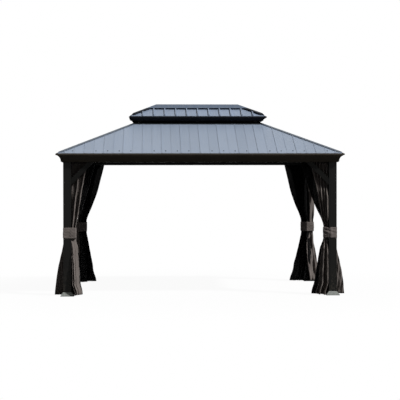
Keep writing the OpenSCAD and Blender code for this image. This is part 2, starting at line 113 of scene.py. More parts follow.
def stretched(tree, vector, scale):
    """A vector whose axes are scaled apart, for streaks."""
    made = put(tree, "Mapping", {"Scale": scale})
    tree.links.new(vector, made.inputs["Vector"])
    return made.outputs["Vector"]


def new_group(name, inputs, outputs):
    """An empty shader group with named sockets; gives the tree and its two end nodes."""
    tree = bpy.data.node_groups.new(name, "ShaderNodeTree")
    for direction, sockets in (("INPUT", inputs), ("OUTPUT", outputs)):
        for socket, kind in sockets.items():
            tree.interface.new_socket(name=socket, in_out=direction, socket_type="NodeSocket" + kind)
    return tree, tree.nodes.new("NodeGroupInput"), tree.nodes.new("NodeGroupOutput")


def use_group(tree, group, **sockets):
    """Places a group in a material; each named socket takes a number, a colour or another node's output."""
    made = put(tree, "Group", node_tree=group)
    for name, value in sockets.items():
        if isinstance(value, bpy.types.NodeSocket):
            tree.links.new(value, made.inputs[name])
        else:
            made.inputs[name].default_value = value
    return made


def new_finish(name, **constants):
    """A material with one Principled shader, whose plain values sit on its own sockets."""
    material = bpy.data.materials.new(name)
    material.use_nodes = True
    tree = material.node_tree
    shader = tree.nodes["Principled BSDF"]
    for socket, value in constants.items():
        shader.inputs[socket.replace("_", " ")].default_value = value
    return material, tree, shader


def object_coordinates(tree):
    """Places on the object itself, which stay with it when it moves."""
    return put(tree, "TexCoord").outputs["Object"]


def raise_surface(tree, shader, height, strength, distance):
    """Feeds a height into the shader's normal through one Bump node."""
    made = put(tree, "Bump", {"Strength": strength, "Distance": distance})
    tree.links.new(height, made.inputs["Height"])
    tree.links.new(made.outputs["Normal"], shader.inputs["Normal"])


def dress(names, material):
    """Gives a finish to CAD nodes."""
    for name in names:
        nodes[name].data.materials.clear()
        nodes[name].data.materials.append(material)


# Orange peel and cloudy tone of a sprayed or baked coat
coat_grain, grain_in, grain_out = new_group(
    "coat_grain",
    {"Position": "Vector", "Colour": "Color", "Clouding": "Float"},
    {"Colour": "Color", "Roughness": "Float", "Height": "Float"},
)
peel = noise(coat_grain, grain_in.outputs["Position"], 420.0, 3.0, 0.6)
clouds = noise(coat_grain, grain_in.outputs["Position"], 3.1, 4.0, 0.6)
cloud_swing = about_zero(coat_grain, clouds, grain_in.outputs["Clouding"])
cloud_gain = maths(coat_grain, "ADD", cloud_swing, 1.0)
coat_grain.links.new(toned(coat_grain, grain_in.outputs["Colour"], cloud_gain), grain_out.inputs["Colour"])
coat_grain.links.new(ramp(coat_grain, clouds, 0.3, 0.7, 0.40, 0.54), grain_out.inputs["Roughness"])
coat_grain.links.new(peel, grain_out.inputs["Height"])

# Splashed soil: strongest at the ground, broken into specks, gone at the given reach
ground_dust, dust_in, dust_out = new_group(
    "ground_dust", {"Position": "Vector", "Reach": "Float", "Amount": "Float"}, {"Mask": "Float"})
dust_split = put(ground_dust, "SeparateXYZ")
ground_dust.links.new(dust_in.outputs["Position"], dust_split.inputs[0])
dust_fall = maths(ground_dust, "SUBTRACT", 1.0,
                  maths(ground_dust, "DIVIDE", dust_split.outputs["Z"], dust_in.outputs["Reach"]))
dust_noise = noise(ground_dust, dust_in.outputs["Position"], 34.0, 6.0, 0.65)
dust_specks = ramp(ground_dust, dust_noise, 0.42, 0.72)
dust_rise = maths(ground_dust, "MULTIPLY", maths(ground_dust, "MAXIMUM", dust_fall, 0.0), dust_specks)
ground_dust.links.new(maths(ground_dust, "MULTIPLY", dust_rise, dust_in.outputs["Amount"]),
                      dust_out.inputs["Mask"])

soil_colour = (0.16, 0.14, 0.115, 1.0)


def charcoal_coat(name, colour, clouding, gloss, dust_reach=0.3, dust_amount=0.0):
    """Charcoal powder coat: coat grain in colour, roughness and bump, with soil over it near the ground."""
    material, tree, shader = new_finish(name, Specular_IOR_Level=gloss)
    where = object_coordinates(tree)
    grain = use_group(tree, coat_grain, Position=where, Colour=colour, Clouding=clouding)
    dust = use_group(tree, ground_dust, Position=where, Reach=dust_reach, Amount=dust_amount)
    tree.links.new(mix_colours(tree, dust.outputs["Mask"], grain.outputs["Colour"], soil_colour),
                   shader.inputs["Base Color"])
    tree.links.new(grain.outputs["Roughness"], shader.inputs["Roughness"])
    raise_surface(tree, shader, grain.outputs["Height"], 0.25, 0.0006)
    return material


corner_names = ["front_left", "front_right", "rear_left", "rear_right"]
side_names = ["front", "rear", "left", "right"]
post_coat = charcoal_coat("charcoal_post_coat", (0.0090, 0.0088, 0.0084, 1.0), 0.5, 0.10, 0.45, 0.40)
dress(["post_" + corner for corner in corner_names], post_coat)


# Feet: a flat steel plate bolted to the ground under each post, and a sloped pressed cover over the
# plate and its bolts. Both are galvanised and left pale, with the soft spangle of the zinc.
foot_zinc, zinc_tree, zinc_shader = new_finish("foot_zinc", Metallic=0.1, Specular_IOR_Level=0.25)
zinc_where = object_coordinates(zinc_tree)
spangle = put(zinc_tree, "TexVoronoi", {"Scale": 85.0, "Randomness": 1.0}, feature="F1")
zinc_tree.links.new(zinc_where, spangle.inputs["Vector"])
spangle_grey = put(zinc_tree, "RGBToBW")
zinc_tree.links.new(spangle.outputs["Color"], spangle_grey.inputs[0])
zinc_tone = mix_colours(
    zinc_tree, spangle_grey.outputs[0], (0.19, 0.205, 0.192, 1.0), (0.31, 0.33, 0.31, 1.0))
zinc_dust = use_group(zinc_tree, ground_dust, Position=zinc_where, Reach=0.09, Amount=0.75)
zinc_tree.links.new(mix_colours(zinc_tree, zinc_dust.outputs["Mask"], zinc_tone, soil_colour),
                    zinc_shader.inputs["Base Color"])
zinc_tree.links.new(ramp(zinc_tree, spangle_grey.outputs[0], 0.0, 1.0, 0.42, 0.58),
                    zinc_shader.inputs["Roughness"])
raise_surface(zinc_tree, zinc_shader, noise(zinc_tree, zinc_where, 60.0, 4.0), 0.15, 0.001)
dress(["foot_plates", "foot_covers"], foot_zinc)


# Beams and corner braces: rectangular aluminium tubes between the post tops, with a flat bar at 45
# degrees in every corner. Each brace is held by a button-head bolt at both ends. The beams are coated
# matt, the braces and their bolts satin. The beams' coat is darker than the braces', which paints the
# shade under the eave mouldings.
beam_coat = charcoal_coat("charcoal_beam_coat", (0.0060, 0.0060, 0.0054, 1.0), 0.5, 0.0)
dress(["beam_" + side for side in side_names], beam_coat)
brace_coat = charcoal_coat("charcoal_brace_coat", (0.0085, 0.0085, 0.0080, 1.0), 0.5, 0.06)
dress(["corner_braces"], brace_coat)

post_low, post_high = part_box("post_front_left")
post_half = np.array([-post_low.x, -post_low.y])
post_side = post_high.x - post_low.x
beam_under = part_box("beam_front")[0].z


def grid_piece(name, points, closed=False, capped=False, smooth=True):
    """A mesh from stacks of points (copy, row, column): every point is joined to the next in its row and
    column; closed joins the last column to the first, and capped fills each copy's first and last row."""
    copies, rows, columns = points.shape[:3]
    index = np.arange(copies * rows * columns).reshape(copies, rows, columns)
    left = index if closed else index[:, :, :-1]
    right = np.roll(index, -1, axis=2) if closed else index[:, :, 1:]
    quads = np.stack([left[:, :-1], right[:, :-1], right[:, 1:], left[:, 1:]], axis=-1).reshape(-1, 4)
    faces = quads.tolist()
    if capped:
        faces += index[:, 0, ::-1].tolist() + index[:, -1].tolist()
    mesh = bpy.data.meshes.new(name)
    mesh.from_pydata(points.reshape(-1, 3).tolist(), [], faces)
    mesh.polygons.foreach_set("use_smooth", np.full(len(faces), smooth))
    mesh.update()
    piece = bpy.data.objects.new(name, mesh)
    bpy.context.scene.collection.objects.link(piece)
    return piece


def frames_along(axes):
    """For each outward axis, two unit vectors square to it: cross products with the least aligned axis."""
    axes = axes / np.linalg.norm(axes, axis=-1, keepdims=True)
    helper = np.where(np.abs(axes[..., 2:]) < 0.9, np.array([0.0, 0.0, 1.0]), np.array([1.0, 0.0, 0.0]))
    first = np.cross(helper, axes)
    first /= np.linalg.norm(first, axis=-1, keepdims=True)
    return first, np.cross(axes, first), axes


def turned_copies(name, profile, places, axes, sides=12):
    """One turned shape set at many places: the profile's (radius, height) pairs are swept round the axis
    of each place, so point = place + radius * (cos, sin) in the square plane + height along the axis."""
    first, second, along = frames_along(np.asarray(axes, float))
    turn = np.arange(sides) * 2 * math.pi / sides
    radius, height = np.asarray(profile, float).T
    ring = np.cos(turn)[:, None] * first[:, None, None] + np.sin(turn)[:, None] * second[:, None, None]
    points = (np.asarray(places, float)[:, None, None]
              + radius[None, :, None, None] * ring
              + height[None, :, None, None] * along[:, None, None])
    return grid_piece(name, points, closed=True, capped=True, smooth=False)


def at_corners(a, b, z, swap):
    """Points given along an opening (a), inwards from the post's outer face (b) and up (z), at all four
    corners: X and Y run from the post's outer corner inwards, and swap turns them to the other opening."""
    a, b, z = np.broadcast_arrays(a, b, z)
    x, y = (b, a) if swap else (a, b)
    signs = np.array([[-1, -1], [1, -1], [-1, 1], [1, 1]], float)
    spread = (4,) + (1,) * a.ndim
    return np.stack([
        signs[:, 0].reshape(spread) * (post_half[0] - x),
        signs[:, 1].reshape(spread) * (post_half[1] - y),
        np.broadcast_to(z, (4,) + a.shape),
    ], axis=-1)


brace_low, brace_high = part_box("corner_braces")
brace_leg = brace_high.z - brace_low.z
brace_middle = 0.017
bolt_from_end = 0.045
bolt_aim = 0.1
bolt_profile = [(0.0010, 0.0070), (0.0045, 0.0066), (0.0072, 0.0048), (0.0084, 0.0020), (0.0086, 0.0012),
                (0.0125, 0.0012), (0.0125, -0.0008)]
bolt_places, bolt_axes = [], []
for swap in (False, True):
    for share in (bolt_from_end / brace_leg, 1 - bolt_from_end / brace_leg):
        along_brace = post_side + share * brace_leg
        up_brace = beam_under - brace_leg + share * brace_leg
        bolt_places.append(at_corners(along_brace, brace_middle, up_brace, swap))
        aimed = at_corners(along_brace + bolt_aim, brace_middle, up_brace - bolt_aim, swap)
        bolt_axes.append(aimed - bolt_places[-1])
brace_bolts = turned_copies(
    "brace_bolts", bolt_profile, np.concatenate(bolt_places), np.concatenate(bolt_axes))
brace_bolts.data.materials.append(brace_coat)
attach(brace_bolts, "root")


# Eave mouldings: coved aluminium extrusions, mitred at the corners and screwed to the beams from inside.
# Their coat is matt, and lighter and warmer than on the posts; the extra lightness is painted light
# that stands in for light reflected into the shaded cove.
eave_coat = charcoal_coat("charcoal_eave_coat", (0.0800, 0.0690, 0.0560, 1.0), 0.6, 0.014)
dress(["eave_" + side for side in side_names], eave_coat)


# Curtain tracks: double aluminium channels screwed behind the beams. Nylon gliders run in the two slots
# and carry the cloth on the outer channel and the net on the inner one.
track_coat = charcoal_coat("charcoal_track_coat", (0.0110, 0.0110, 0.0105, 1.0), 0.4, 0.10)
dress(["curtain_tracks"], track_coat)


# Rafters: hip rafters on the diagonals and plain rafters between them, aluminium tubes in the same coat,
# seated on the beams and bolted to the ring round the vent.
rafter_coat = charcoal_coat("charcoal_rafter_coat", (0.0085, 0.0085, 0.0080, 1.0), 0.5, 0.08)
dress(["hip_rafters", "rafters", "vent_ring", "cupola_frame", "cupola_rafters"], rafter_coat)


# Main roof: four slopes of prepainted steel sheet in pale blue-grey, folded every 143 mm with a standing
# seam at every second fold. The sheet is slightly wavy between the folds, and rain has left faint
# streaks down the slope. A thin dark line beside each fold is dirt and painted shade of the fold.
fold_pitch = 0.143

# Marks on a sloping sheet: streaks of rain down the slope, a dark line by each fold that is dirt and
# painted shade of the fold, a step in tone from pan to pan and a weathered patch here and there;
# Position's X runs across the folds, Pitch is their spacing and Line the strength of the dark line
rain_and_fold_shade, marks_in, marks_out = new_group(
    "rain_and_fold_shade",
    {"Position": "Vector", "Pitch": "Float", "Line": "Float"},
    {"Tone": "Float", "Roughness": "Float", "Height": "Float"},
)
rain_split = put(rain_and_fold_shade, "SeparateXYZ")
rain_and_fold_shade.links.new(marks_in.outputs["Position"], rain_split.inputs[0])
rain_drawn = stretched(rain_and_fold_shade, marks_in.outputs["Position"], (26.0, 1.4, 1.4))
streaks = noise(rain_and_fold_shade, rain_drawn, 1.0, 5.0, 0.6)
patches = noise(rain_and_fold_shade, marks_in.outputs["Position"], 1.7, 3.0, 0.5)
across_pans = maths(rain_and_fold_shade, "DIVIDE", rain_split.outputs["X"], marks_in.outputs["Pitch"])
pan_steps = put(rain_and_fold_shade, "TexWhiteNoise", noise_dimensions="1D")
rain_and_fold_shade.links.new(maths(rain_and_fold_shade, "FLOOR", across_pans), pan_steps.inputs["W"])
fold_place = maths(rain_and_fold_shade, "PINGPONG", across_pans, 0.5)
fold_dirt_and_shade = ramp(rain_and_fold_shade, fold_place, 0.045, 0.075, 1.0, 0.0)
tone_streaks = about_zero(rain_and_fold_shade, streaks, 0.16)
tone_patches = about_zero(rain_and_fold_shade, patches, 0.14)
tone_pans = about_zero(rain_and_fold_shade, pan_steps.outputs["Value"], 0.10)
tone_lines = maths(rain_and_fold_shade, "MULTIPLY", fold_dirt_and_shade, marks_in.outputs["Line"])
tone_sum = maths(rain_and_fold_shade, "ADD", maths(rain_and_fold_shade, "ADD", tone_streaks, tone_patches), tone_pans)
tone_clean = maths(rain_and_fold_shade, "ADD", tone_sum, 1.0)
rain_and_fold_shade.links.new(maths(rain_and_fold_shade, "SUBTRACT", tone_clean, tone_lines), marks_out.inputs["Tone"])
rain_and_fold_shade.links.new(ramp(rain_and_fold_shade, streaks, 0.3, 0.7, 0.40, 0.52), marks_out.inputs["Roughness"])
sheet_waves = stretched(rain_and_fold_shade, marks_in.outputs["Position"], (6.0, 1.6, 1.6))
rain_and_fold_shade.links.new(noise(rain_and_fold_shade, sheet_waves, 1.0, 2.0, 0.4), marks_out.inputs["Height"])


def painted_sheet(name, colour, turn, pitch, line, waviness):
    """Prepainted steel: rain marks, and dirt and painted shade by the folds, over one colour, turned in
    plan so that the folds run down the slope.
    """
    material, tree, shader = new_finish(name, Specular_IOR_Level=0.35)
    turned = put(tree, "Mapping", {"Rotation": (0.0, 0.0, turn)})
    tree.links.new(object_coordinates(tree), turned.inputs["Vector"])
    marks = use_group(tree, rain_and_fold_shade, Position=turned.outputs["Vector"], Pitch=pitch, Line=line)
    tree.links.new(toned(tree, colour, marks.outputs["Tone"]), shader.inputs["Base Color"])
    tree.links.new(marks.outputs["Roughness"], shader.inputs["Roughness"])
    raise_surface(tree, shader, marks.outputs["Height"], waviness, 0.004)
    return material


roof_blue_grey = (0.296, 0.354, 0.448, 1.0)
quarter_turn = math.pi / 2
roof_long_coat = painted_sheet("roof_sheet_long", roof_blue_grey, 0.0, fold_pitch, 0.06, 0.5)
roof_short_coat = painted_sheet("roof_sheet_short", roof_blue_grey, quarter_turn, fold_pitch, 0.06, 0.5)
dress(["roof_front", "roof_rear"], roof_long_coat)
dress(["roof_left", "roof_right"], roof_short_coat)

# Roofing screws along each eave: a domed hexagon head on a rubber-backed washer, screwed into the moulding
roof_low, roof_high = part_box("roof_front")
side_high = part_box("roof_right")[1]
roof_pitch = math.radians(23.7)
pitch_slope = math.tan(roof_pitch)
sheet_back, sheet_top = 0.010, 0.0033
screw_pitch, screw_up = 0.1715, 0.085
clear_of_hip, clear_of_fold = 0.06, 0.016
screw_profile = [(0.0008, 0.0092), (0.0046, 0.0086), (0.0066, 0.0062), (0.0068, 0.0026), (0.0104, 0.0023),
                 (0.0112, 0.0010), (0.0112, -0.0006)]
screw_paint, screw_tree, screw_shader = new_finish("screw_paint", Roughness=0.45)
screw_where = object_coordinates(screw_tree)
screw_tree.links.new(
    mix_colours(screw_tree, ramp(screw_tree, noise(screw_tree, screw_where, 240.0, 3.0), 0.35, 0.7),
                (0.016, 0.018, 0.022, 1.0), (0.036, 0.040, 0.047, 1.0)),
    screw_shader.inputs["Base Color"])


def eave_screws(half, distance, turned):
    """Places and axes of the screws on two opposite slopes: evenly spaced along the eave and a little way
    up the slope, with the axis square to the slope; none stands on a fold."""
    count = int((half - screw_up - clear_of_hip) / screw_pitch)
    along = np.arange(-count, count + 1) * screw_pitch
    along = along[np.abs(along - fold_pitch * np.round(along / fold_pitch)) > clear_of_fold]
    out = np.full_like(along, distance - screw_up)
    up = np.full_like(along, roof_low.z + (screw_up - sheet_back) * pitch_slope + sheet_top)
    zero = np.zeros_like(along)
    rows, axes = [], []
    for sign in (-1.0, 1.0):
        rows.append(np.stack([sign * out, along, up] if turned else [along, sign * out, up], axis=-1))
        tilt = np.full_like(along, sign * pitch_slope)
        axes.append(np.stack([tilt, zero, zero + 1] if turned else [zero, tilt, zero + 1], axis=-1))
    return np.concatenate(rows), np.concatenate(axes)


long_places, long_axes = eave_screws(roof_high.x, -roof_low.y + sheet_back, False)
short_places, short_axes = eave_screws(side_high.y, side_high.x + sheet_back, True)
roof_screws = turned_copies("roof_screws", screw_profile, np.concatenate([long_places, short_places]),
                            np.concatenate([long_axes, short_axes]))
roof_screws.data.materials.append(screw_paint)
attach(roof_screws, "root")

# Hip caps of the main roof: folded strips of the same steel in a darker grey, screwed down over the seams
hip_grey = (0.085, 0.108, 0.140, 1.0)
hip_cap_coat = painted_sheet("hip_cap_sheet", hip_grey, 0.0, 0.5, 0.0, 0.3)
dress(["roof_hip_caps"], hip_cap_coat)


# Vent: a dark flashing of folded steel lies on the seams round the opening and closes against the vent
# ring, so that rain from the upper roof runs off over the sheets. Its coat is matt, and lighter than the
# other dark coats: painted light for its place in the shade of the upper eave.
flashing_coat = charcoal_coat("charcoal_flashing_coat", (0.0300, 0.0350, 0.0390, 1.0), 0.6, 0.0)
dress(["vent_flashing"], flashing_coat)


# Upper roof: its own coved moulding on the raised frame, four ribbed slopes in the pale blue-grey, hip
# caps coloured near black, which paints the shade under their edges, and a broad ridge cap with hipped
# ends that lies on the ribs.
upper_eave_coat = charcoal_coat("charcoal_upper_eave_coat", (0.0210, 0.0220, 0.0260, 1.0), 0.5, 0.0)
dress(["cupola_eave_" + side for side in side_names], upper_eave_coat)
rib_pitch = 0.172
upper_blue_grey = (0.255, 0.315, 0.420, 1.0)
upper_long_coat = painted_sheet("upper_sheet_long", upper_blue_grey, 0.0, rib_pitch, 0.08, 0.4)
upper_short_coat = painted_sheet("upper_sheet_short", upper_blue_grey, quarter_turn, rib_pitch, 0.08, 0.4)
dress(["cupola_roof_front", "cupola_roof_rear"], upper_long_coat)
dress(["cupola_roof_left", "cupola_roof_right"], upper_short_coat)
# The near-black of the upper hip caps is painted shade for the dark band under their edges.
upper_hip_shade_coat = charcoal_coat("upper_hip_painted_shade", (0.0200, 0.0240, 0.0310, 1.0), 0.5, 0.03)
dress(["cupola_hip_caps"], upper_hip_shade_coat)
ridge_coat = painted_sheet("ridge_cap_sheet", (0.060, 0.094, 0.151, 1.0), 0.0, 0.4, 0.0, 0.3)
dress(["cupola_ridge_cap"], ridge_coat)

# Dark bars between the ribs, just behind the lower edge of the ridge cap: their black is painted shade
# for the gap under the cap
ridge_low, ridge_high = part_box("cupola_ridge_cap")
rib_rise = 0.020 / math.cos(roof_pitch)
rib_half = 0.008
strip_back, strip_deep, strip_slack, strip_least = 0.004, 0.018, 0.0004, 0.01
strip_stop = 0.06


def gap_shade_bars(name, edge, half, turned):
    """Short bars between the ribs on two opposite slopes: a four-sided profile under the cap, carried along
    the eave's direction from one rib's face to the next."""
    count = int(half / rib_pitch)
    faces = np.unique(np.concatenate([np.arange(-count, count + 1) * rib_pitch, [-half, half]]))
    ends = np.stack([faces[:-1] + rib_half, faces[1:] - rib_half], axis=1)
    ends = ends[ends[:, 1] - ends[:, 0] > strip_least]
    inward = strip_back + strip_deep * np.array([0.0, 1.0, 1.0, 0.0])
    lower = np.array([1.0, 1.0, 0.0, 0.0])
    over = ridge_low.z + inward * pitch_slope - rib_rise * lower + strip_slack * (2 * lower - 1)
    bars = []
    for sign in (-1.0, 1.0):
        along, out = np.broadcast_arrays(ends[:, :, None], sign * (edge - inward))
        up = np.broadcast_to(over, along.shape)
        order = slice(None, None, -1) if (sign > 0) != turned else slice(None)
        bars.append(np.stack([out, along, up] if turned else [along, out, up], axis=-1)[:, :, order])
    return grid_piece(name, np.concatenate(bars), closed=True, capped=True, smooth=False)


# The near-black colour of these bars is painted shade.
gap_shade_black, gap_shade_tree, gap_shade_shader = new_finish("painted_gap_shade", Roughness=0.95, Specular_IOR_Level=0.02)
gap_shade_tree.links.new(
    mix_colours(gap_shade_tree, noise(gap_shade_tree, object_coordinates(gap_shade_tree), 300.0, 4.0),
                (0.002, 0.002, 0.0022, 1.0), (0.006, 0.006, 0.0065, 1.0)), gap_shade_shader.inputs["Base Color"])
for strips in (gap_shade_bars("gap_shade_long", -ridge_low.y, ridge_high.x - strip_stop, False),
               gap_shade_bars("gap_shade_short", ridge_high.x, -ridge_low.y - strip_stop, True)):
    strips.data.materials.append(gap_shade_black)
    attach(strips, "root")


# Curtains: taupe woven polyester, one sheet on each side of every post, drawn back along the outer
# channel, gathered by a tie and falling in loose folds to the ground. A black net hangs behind each
# sheet on the inner channel and is tied back with it.

# Plain weave: threads over and under in turn; gives a height and a light or dark tone
plain_weave, weave_in, weave_out = new_group(
    "plain_weave", {"Position": "Vector", "Threads": "Float"}, {"Tone": "Float", "Height": "Float"})
weave_split = put(plain_weave, "SeparateXYZ")
weave_scaled = put(plain_weave, "VectorMath", operation="SCALE")
plain_weave.links.new(weave_in.outputs["Position"], weave_scaled.inputs[0])
plain_weave.links.new(weave_in.outputs["Threads"], weave_scaled.inputs["Scale"])
plain_weave.links.new(weave_scaled.outputs[0], weave_split.inputs[0])
warp, weft = (maths(plain_weave, "SINE", maths(plain_weave, "MULTIPLY", weave_split.outputs[axis], math.pi))
              for axis in "XY")
crossing = maths(plain_weave, "MULTIPLY", warp, weft)
slub_drawn = stretched(plain_weave, weave_in.outputs["Position"], (60.0, 900.0, 1.0))
slub = noise(plain_weave, slub_drawn, 1.0, 3.0, 0.6)
plain_weave.links.new(
    maths(plain_weave, "MULTIPLY_ADD", crossing, 0.12, about_zero(plain_weave, slub, 0.35)),
    weave_out.inputs["Tone"])
plain_weave.links.new(maths(plain_weave, "MULTIPLY_ADD", crossing, 0.5, slub), weave_out.inputs["Height"])

# Lockstitch: short dashes along lines at a set distance from a sheet's edges; Edge is that distance
seam_stitch, stitch_in, stitch_out = new_group(
    "seam_stitch", {"Along": "Float", "Edge": "Float", "Inset": "Float"}, {"Mask": "Float"})
stitch_off = maths(seam_stitch, "ABSOLUTE", maths(
    seam_stitch, "SUBTRACT", stitch_in.outputs["Edge"], stitch_in.outputs["Inset"]))
stitch_near = ramp(seam_stitch, stitch_off, 0.0006, 0.0016, 1.0, 0.0)
stitch_step = maths(seam_stitch, "FRACT", maths(seam_stitch, "DIVIDE", stitch_in.outputs["Along"], 0.006))
stitch_dash = ramp(seam_stitch, stitch_step, 0.22, 0.34)
seam_stitch.links.new(maths(seam_stitch, "MULTIPLY", stitch_near, stitch_dash), stitch_out.inputs["Mask"])

cloth_taupe = (0.185, 0.160, 0.147, 1.0)
# The ties' colour is lighter than the curtains', painted light on the same cloth.
tie_taupe = (0.214, 0.185, 0.171, 1.0)
cloth_thread = (0.285, 0.250, 0.230, 1.0)


def taupe_cloth(name, colour, length, hem, dust_amount):
    """Woven polyester on the sheet's own flat measure: weave tone and bump, and a soiled, stitched hem."""
    material, tree, shader = new_finish(
        name, Roughness=0.82, Specular_IOR_Level=0.08, Sheen_Weight=0.25, Sheen_Roughness=0.45,
        Sheen_Tint=(0.9, 0.85, 0.8, 1.0))
    flat = put(tree, "UVMap", uv_map="flat").outputs["UV"]
    split = put(tree, "SeparateXYZ")
    tree.links.new(flat, split.inputs[0])
    weave = use_group(tree, plain_weave, Position=flat, Threads=640.0)
    worn = noise(tree, flat, 5.0, 4.0, 0.6)
    tone = maths(tree, "MULTIPLY_ADD", worn, 0.28, maths(tree, "ADD", weave.outputs["Tone"], 0.86))
    woven = toned(tree, colour, tone)
    dust = use_group(tree, ground_dust, Position=object_coordinates(tree), Reach=0.22, Amount=dust_amount)
    dusty = mix_colours(tree, dust.outputs["Mask"], woven, soil_colour)
    top_edge = maths(tree, "SUBTRACT", length, split.outputs["Y"])
    foot_stitch = use_group(tree, seam_stitch, Along=split.outputs["X"], Edge=split.outputs["Y"], Inset=hem)
    head_stitch = use_group(tree, seam_stitch, Along=split.outputs["X"], Edge=top_edge, Inset=hem)
    stitches = maths(tree, "MAXIMUM", foot_stitch.outputs["Mask"], head_stitch.outputs["Mask"])
    tree.links.new(mix_colours(tree, stitches, dusty, cloth_thread), shader.inputs["Base Color"])
    raise_surface(tree, shader, maths(tree, "SUBTRACT", weave.outputs["Height"], stitches), 0.35, 0.0006)
    return material


net_black, net_tree, net_shader = new_finish(
    "net_black", Roughness=0.85, Specular_IOR_Level=0.12, Alpha=0.94)
net_flat = put(net_tree, "UVMap", uv_map="flat").outputs["UV"]
net_weave = use_group(net_tree, plain_weave, Position=net_flat, Threads=420.0)
net_tree.links.new(
    mix_colours(net_tree, ramp(net_tree, net_weave.outputs["Tone"], -0.2, 0.2),
                (0.0035, 0.0035, 0.0037, 1.0), (0.0085, 0.0084, 0.0086, 1.0)),
    net_shader.inputs["Base Color"])
raise_surface(net_tree, net_shader, net_weave.outputs["Height"], 0.3, 0.0008)


def through(z, knots):
    """A smooth curve through (height, value) knots: straight runs eased by averaging over a short span."""
    heights, values = np.asarray(sorted(knots), float).T
    offsets = np.linspace(-0.045, 0.045, 9)
    return np.interp(z[:, None] + offsets, heights, values).mean(axis=1)


def gathered_folds(z, width, folds, proud, opened, shape, columns, rng):
    """Pleats of constant cloth length: along each flank the cloth's direction swings from one side to the
    other, angle = 90 degrees * tanh(k sin) / tanh(k), and k is found for every row by halving so that the
    pleats fill the row's span; they are pressed flatter where the row has less depth. The proud ones stand
    out, the others lie back by the recess, and an opened flank swings by its own share of the angle, so its
    breadth shows in the rows that the opening reaches. Returns each point's place along and across the
    row."""
    span, depth, recess = shape["span"], shape["depth"], shape["recess"]
    fine = 5
    count = (columns - 1) * fine
    flanks = 2 * folds
    crests = 1.0 - 0.12 * rng.uniform(0.0, 1.0, flanks + 1)
    crests[1::2] = recess * rng.uniform(0.8, 1.1, folds)
    crests[1 + 2 * np.array(proud)] = 0.0
    shares = np.abs(np.diff(crests))
    edges = np.concatenate([[0.0], np.cumsum(shares / shares.sum())])
    u = (np.arange(count) + 0.5) / count
    flank = np.clip(np.searchsorted(edges, u, side="right") - 1, 0, flanks - 1)
    swing = np.sin(math.pi * (u - edges[flank]) / (edges[flank + 1] - edges[flank]))
    sign = np.where(flank % 2 == 0, -1.0, 1.0)
    swings = np.ones(flanks)
    swings[list(opened)] = list(opened.values())
    turn = 0.5 * math.pi * (1.0 - shape["opening"][:, None] * (1.0 - swings[flank]))
    step = width / count
    low, high = np.full(len(z), 0.02), np.full(len(z), 400.0)
    for _ in range(40):
        sharp = np.sqrt(low * high)
        angle = turn * np.tanh(sharp[:, None] * swing) / np.tanh(sharp)[:, None]
        wide = np.cos(angle).sum(axis=1) * step > span
        low, high = np.where(wide, sharp, low), np.where(wide, high, sharp)
    zero = np.zeros((len(z), 1))
    along = np.hstack([zero, np.cumsum(np.cos(angle), axis=1)])[:, ::fine]
    along *= (span / along[:, -1])[:, None]
    across = np.hstack([zero, np.cumsum(np.sin(angle) * sign, axis=1)])[:, ::fine] * step
    across -= np.linspace(0.0, 1.0, columns) * across[:, -1:]
    top, bottom = across.max(axis=1, keepdims=True), across.min(axis=1, keepdims=True)
    return along, (across - 0.5 * (top + bottom)) * np.minimum(1.0, depth[:, None] / (top - bottom))


def swell(t, z, size, phase):
    """Broad waves that carry several folds in and out together: three sines along the gathered width that
    drift a little with height."""
    drift = 0.05 * np.sin(2.3 * z + 6.0 * phase)[:, None]
    return size[:, None] * (0.55 * np.sin(2 * math.pi * (2.1 * t + drift + phase))
                            + 0.40 * np.sin(2 * math.pi * (3.7 * t - drift + 2.3 * phase))
                            + 0.20 * np.sin(2 * math.pi * (5.9 * t + 1.7 * phase)))


crease_pitch = 0.047


def crumple(b, z, size, pitch, phase):
    """Small creases that shift all folds of a row alike: two sines across the row and down the cloth, the
    second at 0.62 of the first one's pitch; the wider the pitch, the less they wander with height."""
    drift = crease_pitch / pitch * z[:, None]
    return size[:, None] * (np.sin(2 * math.pi * (b / pitch + 2.1 * drift + phase))
                            + 0.6 * np.sin(2 * math.pi * (b / (0.62 * pitch) - 3.7 * drift + 3.0 * phase)))


def rucks(b, z, size, phase):
    """Short cross creases that come and go: a sine down the cloth that leans with its depth, times a slower
    one that leans the other way."""
    down = z[:, None]
    return (size[:, None] * np.sin(2 * math.pi * (8.7 * down + 11.0 * b + phase))
            * np.sin(2 * math.pi * (3.1 * down - 5.0 * b + 2.0 * phase)))


tie_low, tie_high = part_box("tie_front_left")
tie_foot, tie_top = tie_low.z + 0.03, tie_high.z - 0.03


def bundle(z, width, pleats, columns, shape, phase, rng):
    """Rows of one gathered sheet: two sets of pleats, the upper one down to the tie and the lower one from
    it, that change over inside the tie. Gives the points along (a) and inwards (b); skew moves the far end
    inwards."""
    total_a, total_b = 0.0, 0.0
    below = np.clip((tie_top - z) / (tie_top - tie_foot), 0.0, 1.0)
    below = (below * below * (3 - 2 * below))[:, None]
    for (folds, proud, opened), share in zip(pleats, (1.0 - below, below)):
        along, across = gathered_folds(z, width, folds, proud, opened, shape, columns, rng)
        t = along / shape["span"][:, None]
        b = shape["middle"][:, None] + across + swell(t, z, shape["waves"], phase)
        b = b + shape["skew"][:, None] * (t - 0.5)
        a = shape["start"][:, None] + along + crumple(b, z, shape["creases"], shape["pitch"], phase)
        a = a + rucks(b, z, shape["rucks"], phase)
        total_a, total_b = total_a + share * a, total_b + share * b
    return np.maximum(total_a, shape["start"][:, None]), total_b


